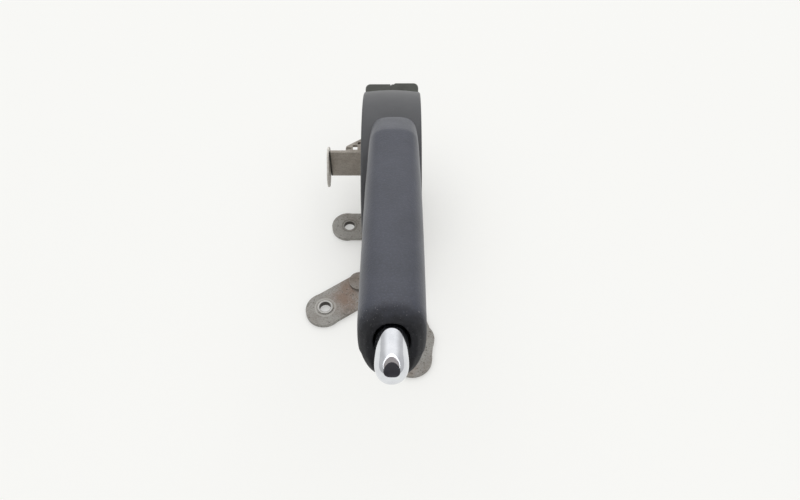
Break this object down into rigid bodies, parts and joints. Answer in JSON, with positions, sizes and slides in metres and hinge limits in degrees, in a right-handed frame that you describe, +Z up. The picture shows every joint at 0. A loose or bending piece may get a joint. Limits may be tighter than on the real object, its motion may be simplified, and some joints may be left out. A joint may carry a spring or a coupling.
{
  "type": "parking brake lever",
  "caption": "Floor-mounted parking brake lever: moulded grip with a chrome release button, curved sector cover, toothed ratchet with pawl, and a steel foot plate.",
  "frame": {"origin": "on the mounting plane, straight below the lever's pivot, in the middle of the grip's width", "axes": "+Z up from the floor, +Y along the lever towards the front of the car, +X to the right"},
  "size_m": [0.1014, 0.3106, 0.1707],
  "materials": {
    "bare_steel": "used zinc-grey sheet with brown stains",
    "stay_steel": "brown-grey used sheet",
    "arm_steel": "pressed sheet",
    "rivet_steel": "plain turned steel",
    "dark_steel": "hardened, dark",
    "spring_steel": "oiled wire",
    "bush_brass": "sintered",
    "terminal_brass": "plain",
    "black_plastic": "moulded",
    "white_plastic": "natural moulded",
    "grip_plastic": "soft touch with fine leather grain",
    "cover_plastic": "fine satin grain",
    "sleeve_plastic": "moulded",
    "flap_rubber": "dull black",
    "button_chrome": "polished plating"
  },
  "bodies": {
    "base": {"base_plate": "bare_steel", "left_upright": "bare_steel", "right_upright": "bare_steel", "left_rivet_front": "rivet_steel", "left_rivet_rear": "rivet_steel", "right_rivet_front": "rivet_steel", "right_rivet_rear": "rivet_steel", "ratchet_plate": "dark_steel", "ratchet_rivet_front": "rivet_steel", "ratchet_rivet_rear": "rivet_steel", "pivot_pin": "rivet_steel", "pivot_clip": "dark_steel", "stay_bracket": "stay_steel", "stay_flange": "stay_steel", "stay_rivet_top": "rivet_steel", "stay_rivet_low": "rivet_steel", "switch_body": "black_plastic", "switch_screw": "rivet_steel", "switch_terminal": "terminal_brass"},
    "lever": {"lever_arm": "arm_steel", "left_bush": "bush_brass", "right_bush": "bush_brass", "pawl_pin": "rivet_steel", "spring_pin": "rivet_steel", "cable_pin": "rivet_steel", "rod_guide": "white_plastic", "rod_guide_front": "white_plastic", "grip": "grip_plastic", "grip_underside": "grip_plastic", "button_sleeve": "sleeve_plastic", "sector_cover": "cover_plastic", "left_flap": "flap_rubber", "right_flap": "flap_rubber", "cover_screw_left_top": "dark_steel", "cover_screw_left_rear": "dark_steel", "cover_screw_right_top": "dark_steel", "cover_screw_right_rear": "dark_steel", "return_spring": "spring_steel"},
    "button": {"push_button": "button_chrome", "release_rod": "rivet_steel", "spring_collar": "rivet_steel"},
    "pawl": {"pawl": "dark_steel", "pawl_spring": "spring_steel"},
    "plunger": {"switch_plunger": "white_plastic"}
  },
  "joints": [
    {"name": "lever_pull", "type": "hinge", "parent": "base", "child": "lever", "pos_m": [0, 0, 0.042], "axis": [-1, 0, 0], "range_deg": [0, 40]},
    {"name": "button_push", "type": "slide", "parent": "lever", "child": "button", "axis": [0, 0.9781, -0.2079], "range_m": [0, 0.006], "stiffness_N_per_m": 900, "springref_m": -0.004, "deforming": ["return_spring"]},
    {"name": "pawl_swing", "type": "hinge", "parent": "lever", "child": "pawl", "pos_m": [0, -0.03097, 0.08623], "axis": [-1, 0, 0], "range_deg": [0, 11], "deforming": ["pawl_spring"]},
    {"name": "switch_stroke", "type": "slide", "parent": "base", "child": "plunger", "axis": [0, -1, 0], "range_m": [0, 0.0041]}
  ],
  "couplings": [
    {"joint": "pawl_swing", "follows": "button_push", "rad_per_m": 30.851},
    {"joint": "switch_stroke", "follows": "lever_pull", "m_per_rad": 0.0057296}
  ]
}
